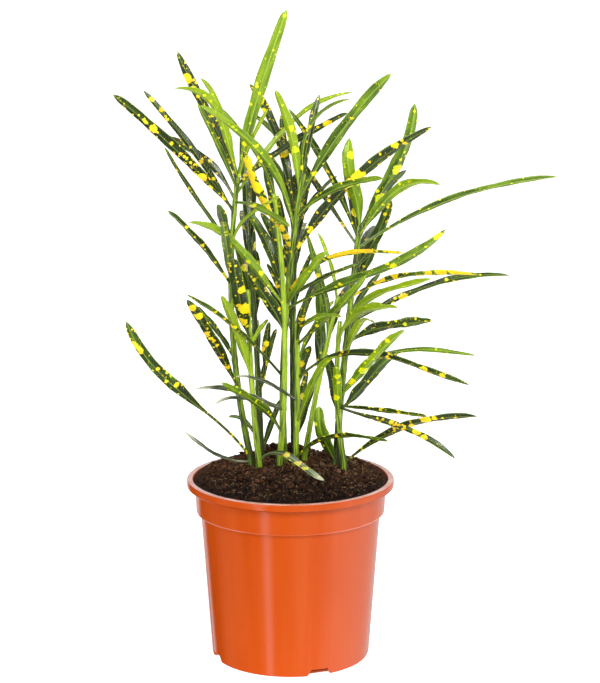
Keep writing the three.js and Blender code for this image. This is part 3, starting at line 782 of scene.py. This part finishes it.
def add_leaf(leafy, stem, order, seed, row):
    height, tip, rise, width, turn, kind, patches = row[:7]
    stalk = row[7] if len(row) > 7 else STALK_SHARE
    curve = leaf_curve(stem_point(stem, height), Vector(tip), rise)
    chord = curve[3] - curve[0]
    level = Vector((chord.y, -chord.x, 0)).normalized()
    roll = roll_to_front(chord.normalized(), level) * turn / 100
    facing = Quaternion(chord.normalized(), roll) @ level.cross(chord)
    upper = -1 if facing.y > 0 else 1
    phase = order * GOLDEN_ANGLE
    spots = patch_spots(patches, chord.length, width, seed)
    section = blade_section()
    start = len(leafy.points)
    for station in range(LEAF_STATIONS + 1):
        t = station / LEAF_STATIONS
        centre = curve_point(curve, t)
        along = curve_tangent(curve, t)
        rolled = Quaternion(along, roll)
        across = rolled @ level
        normal = rolled @ level.cross(along).normalized()
        blade = smoothstep(t, stalk, stalk + STALK_WIDENING)
        closing = math.sqrt(max(0.004, min(1, (1 - t) / TIP_ROUND)))
        half = leaf_width(t, width, blade, phase) / 2 * closing
        for u, face in section:
            thick = half_thickness(u, blade) * closing
            if face < 0:
                thick += rib_depth(u * half, t, blade) * closing
            lift = leaf_lift(u, t, half, blade, phase)
            point = centre + across * (u * half) + normal * (lift + face * thick)
            mm = (u * half, t * chord.length, LEAF_NOISE_STEP * seed)
            place = (u, t, (1 - face * upper) / 2)
            leafy.add_point(point, mm, place, KINDS[kind], patch_depth(spots, *mm[:2]))
    leafy.faces += ring_faces(LEAF_STATIONS + 1, len(section), start)


def make_leafy_stems():
    bark = stem_material()
    blade = leaf_material()
    seed = 0
    for number, stem in enumerate(STEMS, 1):
        leafy = LeafyMesh()
        add_stem(leafy, stem, number)
        for order, row in enumerate(stem["leaves"]):
            seed += 1
            add_leaf(leafy, stem, order, seed, row)
        piece = leafy.make(f"croton_stem_{number:02d}", bark, blade)
        place_piece(piece, "foliage", f"leafy_stem_{number:02d}")


# Pot: glossy plastic with flow marks and scuffs near its foot, painted highlights on the rim's and
# collar's edges, and a painted shade line under the rim

POT_ORANGES = [
    (0.3, (0.47, 0.058, 0.001)),
    (0.7, (0.52, 0.068, 0.002)),
]
FLOW_COLOUR = (0.56, 0.10, 0.02, 1)
SCUFF_COLOUR = (0.80, 0.30, 0.14, 1)
# Painted highlight: a pale pink for the rim's top edge and the collar's lower edge
EDGE_HIGHLIGHT_COLOUR = (0.84, 0.50, 0.44, 1)
# Painted shade: a dark red for the line under the rim's lip
UNDER_RIM_SHADE_COLOUR = (0.16, 0.015, 0.002, 1)


def band(tree, height, middle, reach):
    """1 at one height in mm, fading to 0 at reach above and below it."""
    away = size_of(tree, minus(tree, height, middle * MM))
    return step(tree, away, 0.0, reach * MM, 1.0, 0.0)


def painted_edge_highlights(tree, spot, right, height):
    """Painted highlights on the rim's top edge and the collar's lower edge, more so at the pot's
    sides, broken up by noise.
    """
    collar = band(tree, height, COLLAR_BOTTOM + 1.0, 0.8)
    sides = step(tree, size_of(tree, right), 0.015, 0.05, 0.1, 0.9)
    rim = band(tree, height, POT_HEIGHT, 0.4)
    highlighted = maths(tree, "MAXIMUM", rim, times(tree, collar, sides))
    highlight_breakup = step(tree, noise_at(tree, spot, 90, 3), 0.3, 0.6, 0.4, 0.8)
    return times(tree, highlighted, highlight_breakup)


def pot_material():
    material, tree, shader = new_material("pot_plastic")
    spot = object_spot(tree)
    right, _, height = split(tree, spot)
    flow = noise_at(tree, stretched(tree, spot, (1, 1, 0.04)), 70, 3)
    scuffs = step(tree, noise_at(tree, spot, 420, 5, 0.7), 0.66, 0.72, 0.0, 0.25)
    low = step(tree, height, 0.0, 0.02, 1.0, 0.25)
    # Painted shade in a band under the rim's lip
    under_rim_shade = times(tree, band(tree, height, RIM_BOTTOM, 1.1), 0.75)
    colour = ramp(tree, noise_at(tree, spot, 14, 3), POT_ORANGES)
    colour = mix(tree, step(tree, flow, 0.4, 0.65, 0.0, 0.3), colour, FLOW_COLOUR)
    colour = mix(tree, times(tree, scuffs, low), colour, SCUFF_COLOUR)
    # Painted highlights on the rim's top edge and the collar's lower edge
    colour = mix(tree, painted_edge_highlights(tree, spot, right, height), colour, EDGE_HIGHLIGHT_COLOUR)
    # Painted shade under the rim
    colour = mix(tree, under_rim_shade, colour, UNDER_RIM_SHADE_COLOUR)
    roughness = step(tree, noise_at(tree, spot, 60, 3), 0.3, 0.7, 0.30, 0.36)
    set_shader(tree, shader, colour, roughness, 0.0)
    shader.inputs["Coat Weight"].default_value = 0.9
    shader.inputs["Coat Roughness"].default_value = 0.11
    ripple = plus(tree, times(tree, flow, 0.6), noise_at(tree, spot, 900, 2))
    bump(tree, shader, ripple, 0.05, 0.0004)
    return material


def pot_profile():
    outside = [
        (0, 0),
        (BASE_RADIUS - BASE_ROUND, 0),
        (BASE_RADIUS - BASE_ROUND * 0.3, BASE_ROUND * 0.3),
        (BASE_RADIUS, BASE_ROUND),
        (BODY_TOP_RADIUS, COLLAR_BOTTOM),
        (COLLAR_RADIUS - 0.8, COLLAR_BOTTOM + 1),
        (COLLAR_RADIUS, RIM_BOTTOM - 0.5),
    ]
    rim = [
        (RIM_RADIUS - RIM_ROUND, RIM_BOTTOM),
        (RIM_RADIUS, RIM_BOTTOM + RIM_ROUND),
        (RIM_RADIUS, POT_HEIGHT - RIM_ROUND),
        (RIM_RADIUS - RIM_ROUND, POT_HEIGHT),
        (RIM_INNER_RADIUS + RIM_ROUND / 2, POT_HEIGHT),
        (RIM_INNER_RADIUS, POT_HEIGHT - RIM_ROUND / 2),
    ]
    return outside + rim + INNER_WALL + [(0, POT_FLOOR)]


def notch_cutter(angle, material):
    outline = [
        (-NOTCH_WIDTH / 2, -1),
        (NOTCH_WIDTH / 2, -1),
        (NOTCH_WIDTH / 2 - NOTCH_SLANT, NOTCH_HEIGHT),
        (-NOTCH_WIDTH / 2 + NOTCH_SLANT, NOTCH_HEIGHT),
    ]
    ends = (-BASE_RADIUS - NOTCH_DEPTH, -BASE_RADIUS + NOTCH_DEPTH)
    turn = Quaternion((0, 0, 1), math.radians(angle))
    points = [turn @ Vector((x, y, z)) for y in ends for x, z in outline]
    cutter = new_object("notch_cutter", points, ring_faces(2, 4), material)
    edit = bmesh.new()
    edit.from_mesh(cutter.data)
    bmesh.ops.recalc_face_normals(edit, faces=edit.faces)
    edit.to_mesh(cutter.data)
    edit.free()
    return cutter


def bake_modifiers(piece):
    """Turns the piece's modifiers into plain mesh."""
    seen = piece.evaluated_get(bpy.context.evaluated_depsgraph_get())
    mesh = bpy.data.meshes.new_from_object(seen)
    piece.modifiers.clear()
    piece.data = mesh


def cut_notches(pot, material):
    angles = [NOTCH_FIRST_ANGLE + 360 * i / NOTCH_COUNT for i in range(NOTCH_COUNT)]
    cutters = [notch_cutter(angle, material) for angle in angles]
    for cutter in cutters:
        cut = pot.modifiers.new("notch", "BOOLEAN")
        cut.object = cutter
        cut.solver = "EXACT"
    bake_modifiers(pot)
    for cutter in cutters:
        bpy.data.objects.remove(cutter)


def soften_edges(pot):
    soften = pot.modifiers.new("soften", "BEVEL")
    soften.width = EDGE_SOFTENING * MM
    soften.segments = 2
    soften.limit_method = "ANGLE"
    soften.angle_limit = math.radians(SOFTENED_EDGE_ANGLE)
    bake_modifiers(pot)
    pot.data.shade_smooth()
    pot.data.set_sharp_from_angle(angle=math.radians(SHARP_EDGE_ANGLE))


def make_pot():
    material = pot_material()
    points, faces = lathe(pot_profile(), POT_SIDES)
    pot = new_object("nursery_pot", points, faces, material)
    cut_notches(pot, material)
    soften_edges(pot)
    place_piece(pot, "pot", "pot")


# Soil: a lumpy dark top with loose crumbs and fibres on it

PEAT = [
    (0.3, (0.004, 0.0025, 0.002)),
    (0.48, (0.020, 0.0085, 0.0045)),
    (0.64, (0.094, 0.038, 0.0175)),
    (0.9, (0.25, 0.12, 0.055)),
]
STRAW = [
    (0.2, (0.03, 0.013, 0.007)),
    (0.5, (0.11, 0.055, 0.028)),
    (0.9, (0.50, 0.34, 0.19)),
]
FLAKE_COLOUR = (0.14, 0.075, 0.038, 1)


def soil_material(name, stops, scale):
    material, tree, shader = new_material(name)
    spot = object_spot(tree)
    coarse = noise_at(tree, spot, scale, 5, 0.65)
    shade = plus(tree, coarse, times(tree, attribute(tree, "tone")["Fac"], 0.4))
    # Painted shade and light: darker toward the front of the soil and paler toward the back
    painted_front_shade = step(tree, split(tree, spot)[1], -0.045, 0.02, -0.12, 0.06)
    shade = plus(tree, shade, painted_front_shade, clamp=True)
    flakes = step(tree, noise_at(tree, spot, scale * 2.7, 3), 0.62, 0.70, 0.0, 0.6)
    colour = mix(tree, flakes, ramp(tree, shade, stops), FLAKE_COLOUR)
    set_shader(tree, shader, colour, step(tree, coarse, 0.3, 0.7, 0.7, 0.95), 0.1)
    bump(tree, shader, noise_at(tree, spot, scale * 3, 4), 0.9, 0.0008)
    return material


def set_tones(piece, tones):
    """Gives each point its tone, which makes it darker or paler."""
    piece.data.attributes.new("tone", "FLOAT", "POINT").data.foreach_set("value", tones)


def relief(x, y, layer):
    fineness, level, height = layer
    return height * noise.noise(Vector((x * fineness, y * fineness, level)))


def soil_height(x, y):
    inside = 1 - min(1, math.hypot(x, y) / SOIL_EDGE_RADIUS) ** 4
    from_heap = math.hypot(x - SOIL_HEAP[0], y - SOIL_HEAP[1]) / SOIL_HEAP_SPREAD
    heap = SOIL_HEAP_HEIGHT * math.exp(-from_heap ** 2)
    lumpy = inside * (relief(x, y, SWELLS) + relief(x, y, LUMPS)) + relief(x, y, GRAINS)
    edge = SOIL_EDGE_LEVEL + SOIL_BACK_SLOPE * max(0, y)
    return edge + inside * (SOIL_RISE + SOIL_TILT * y + heap) + lumpy


def soil_sides():
    """The soil's side as (radius, height), inside the pot's wall and clear of it."""
    top_radius, top = INNER_WALL[0]
    lower = [(radius - CLEARANCE, z + CLEARANCE) for radius, z in INNER_WALL[1:]]
    return [(top_radius - CLEARANCE, top)] + lower


def make_soil_bed(material):
    points = [Vector((0, 0, soil_height(0, 0)))]
    for ring in range(1, SOIL_RINGS + 1):
        radius = SOIL_EDGE_RADIUS * ring / SOIL_RINGS
        for point in circle(Vector((0, 0, 0)), radius, SOIL_SPOKES):
            points.append(Vector((point.x, point.y, soil_height(point.x, point.y))))
    sides = soil_sides()
    for radius, z in sides:
        points += circle(Vector((0, 0, z)), radius, SOIL_SPOKES)
    points.append(Vector((0, 0, POT_FLOOR + CLEARANCE)))
    faces = []
    rings = SOIL_RINGS + len(sides)
    for i in range(SOIL_SPOKES):
        j = (i + 1) % SOIL_SPOKES
        faces.append((0, 1 + i, 1 + j))
        for ring in range(rings - 1):
            a = 1 + ring * SOIL_SPOKES
            faces.append((a + i, a + SOIL_SPOKES + i, a + SOIL_SPOKES + j, a + j))
        last = 1 + (rings - 1) * SOIL_SPOKES
        faces.append((len(points) - 1, last + j, last + i))
    bed = new_object("soil_bed", points, faces, material)
    set_tones(bed, [0.0] * len(points))
    place_piece(bed, "soil", "soil")


def coarse_ball():
    """Points and faces of a ball with a radius of 1."""
    ball = bmesh.new()
    bmesh.ops.create_icosphere(ball, subdivisions=1, radius=1)
    points = [v.co.copy() for v in ball.verts]
    faces = [tuple(v.index for v in face.verts) for face in ball.faces]
    ball.free()
    return points, faces


def soil_spot(draws, reach):
    radius = reach * math.sqrt(draws.random())
    angle = draws.uniform(0, 2 * math.pi)
    return radius * math.cos(angle), radius * math.sin(angle)


def any_turn(draws):
    axis = Vector((draws.gauss(0, 1), draws.gauss(0, 1), draws.gauss(0, 1))).normalized()
    return Quaternion(axis, draws.uniform(0, math.pi))


def make_crumbs(material):
    draws = random.Random(5)
    points, faces, tones = [], [], []
    corners, ball_faces = coarse_ball()
    for _ in range(CRUMB_COUNT):
        size = CRUMB_SIZE + CRUMB_GROWTH * draws.random() ** CRUMB_RARITY
        x, y = soil_spot(draws, SOIL_EDGE_RADIUS - 0.9 - size)
        centre = Vector((x, y, soil_height(x, y) + size * 0.35))
        squash = Vector((draws.uniform(0.7, 1.3), draws.uniform(0.7, 1.3), draws.uniform(0.5, 0.9)))
        turn = any_turn(draws)
        tone = draws.uniform(-0.2, 0.6) * draws.random()
        start = len(points)
        for corner in corners:
            rough = 1 + CRUMB_ROUGHNESS * noise.noise(corner * 2.1 + centre)
            points.append(centre + turn @ (corner * squash * size * rough))
        faces += [tuple(start + i for i in face) for face in ball_faces]
        tones += [tone] * len(corners)
    crumbs = new_object("soil_crumbs", points, faces, material)
    set_tones(crumbs, tones)
    place_piece(crumbs, "soil")


def make_fibres(material):
    draws = random.Random(8)
    points, faces, tones = [], [], []
    for _ in range(FIBRE_COUNT):
        x, y = soil_spot(draws, SOIL_EDGE_RADIUS - 7)
        heading = draws.uniform(0, 2 * math.pi)
        bend = draws.gauss(0, FIBRE_BEND)
        pace = draws.uniform(*FIBRE_LENGTHS) / FIBRE_STEPS
        radius = draws.uniform(*FIBRE_RADII)
        lift = draws.uniform(*FIBRE_LIFTS)
        tone = draws.uniform(-0.3, 0.8)
        start = len(points)
        for i in range(FIBRE_STEPS):
            share = i / (FIBRE_STEPS - 1)
            x += math.cos(heading) * pace
            y += math.sin(heading) * pace
            heading += bend
            centre = Vector((x, y, soil_height(x, y) + radius + lift * math.sin(math.pi * share)))
            side = Vector((-math.sin(heading), math.cos(heading), 0))
            thin = radius * (1.05 - abs(2 * share - 1) ** 3)
            for k in range(FIBRE_SIDES):
                turn = 2 * math.pi * k / FIBRE_SIDES
                up = Vector((0, 0, math.sin(turn) * thin))
                points.append(centre + side * (math.cos(turn) * thin) + up)
        faces += ring_faces(FIBRE_STEPS, FIBRE_SIDES, start)
        tones += [tone] * (FIBRE_SIDES * FIBRE_STEPS)
    fibres = new_object("soil_fibres", points, faces, material)
    set_tones(fibres, tones)
    place_piece(fibres, "soil")


def make_soil():
    peat = soil_material("soil_peat", PEAT, 520)
    make_soil_bed(peat)
    make_crumbs(peat)
    make_fibres(soil_material("soil_straw", STRAW, 260))


# Stage: a white floor, light and dark surroundings, two soft lights and the camera

FLOOR_HALF = 40000
FLOOR_WHITES = [(0.3, 0.80), (0.7, 0.83)]

# How bright the surroundings are, by the turn around the plant: 0.5 is where the viewer
# stands, 0 and 1 are behind the plant, and numbers above 0.5 are to the right. Gloss sees
# the low ones in place of the floor.
LOW_SURROUNDINGS = [
    (0.00, 0.75),
    (0.06, 0.75),
    (0.09, 0.02),
    (0.15, 0.02),
    (0.18, 0.12),
    (0.375, 0.12),
    (0.397, 1.9),
    (0.407, 1.9),
    (0.43, 0.12),
    (0.50, 0.15),
    (0.56, 0.45),
    (0.62, 0.45),
    (0.70, 1.2),
    (0.82, 1.0),
    (0.87, 0.75),
    (1.00, 0.75),
]
SURROUNDINGS = [
    (0.00, 1.0),
    (0.08, 1.0),
    (0.10, 0.02),
    (0.15, 0.02),
    (0.17, 0.25),
    (0.28, 0.25),
    (0.31, 0.02),
    (0.35, 2.6),
    (0.43, 2.6),
    (0.46, 0.1),
    (0.64, 0.1),
    (0.69, 0.8),
    (0.81, 0.8),
    (0.83, 0.2),
    (0.84, 0.2),
    (0.86, 1.0),
    (1.00, 1.0),
]
CEILING_COLOUR = (0.35, 0.35, 0.35, 1)


def make_floor():
    """White, and bright by itself, most of all behind and beside the plant."""
    material, tree, shader = new_material("floor_white")
    spot = object_spot(tree)
    colour = ramp(tree, noise_at(tree, spot, 2, 2), greys(FLOOR_WHITES))
    glow = step(tree, split(tree, spot)[1], -0.3, -0.06, 0.4, 0.9)
    tree.links.new(colour, shader.inputs["Base Color"])
    tree.links.new(glow, shader.inputs["Emission Strength"])
    shader.inputs["Emission Color"].default_value = (1, 1, 1, 1)
    shader.inputs["Roughness"].default_value = 0.9
    shader.inputs["Specular IOR Level"].default_value = 0.1
    signs = [(-1, -1), (1, -1), (1, 1), (-1, 1)]
    corners = [(x * FLOOR_HALF, y * FLOOR_HALF, 0) for x, y in signs]
    floor = new_object("floor", corners, [(0, 1, 2, 3)], material)
    floor.visible_glossy = False


def make_world():
    world = bpy.data.worlds.new("studio")
    world.use_nodes = True
    tree = world.node_tree
    right, backward, upward = split(tree, node(tree, "ShaderNodeTexCoord")["Generated"])
    forward = times(tree, backward, -1.0)
    turn = step(tree, maths(tree, "ARCTAN2", right, forward), -math.pi, math.pi)
    low = ramp(tree, turn, greys(LOW_SURROUNDINGS))
    around = ramp(tree, turn, greys(SURROUNDINGS))
    around = mix(tree, step(tree, upward, -0.01, 0.01), low, around)
    colour = mix(tree, step(tree, upward, 0.4, 0.9), around, CEILING_COLOUR)
    tree.links.new(colour, tree.nodes["Background"].inputs["Color"])
    bpy.context.scene.world = world


def add_light(name, place, target, side, watts, diffuse=True, glossy=True):
    data = bpy.data.lights.new(name, "AREA")
    data.size = side
    data.energy = watts
    light = bpy.data.objects.new(name, data)
    light.location = place
    light.rotation_euler = (Vector(target) - Vector(place)).to_track_quat("-Z", "Y").to_euler()
    light.visible_camera = False
    light.visible_diffuse = diffuse
    light.visible_glossy = glossy
    bpy.context.scene.collection.objects.link(light)


def make_camera():
    data = bpy.data.cameras.new("camera")
    data.lens = LENS
    data.sensor_width = FILM_WIDTH
    camera = bpy.data.objects.new("camera", data)
    camera.location = CAMERA_PLACE
    camera.rotation_euler = (math.pi / 2 - CAMERA_PITCH, 0, -CAMERA_YAW)
    bpy.context.scene.collection.objects.link(camera)
    bpy.context.scene.camera = camera


make_camera()
make_pot()
make_soil()
make_leafy_stems()
make_floor()
make_world()
add_light("key", glossy=False, **KEY_LIGHT)
add_light("sheen", diffuse=False, **SHEEN_LIGHT)
bpy.context.scene.view_settings.view_transform = "Standard"
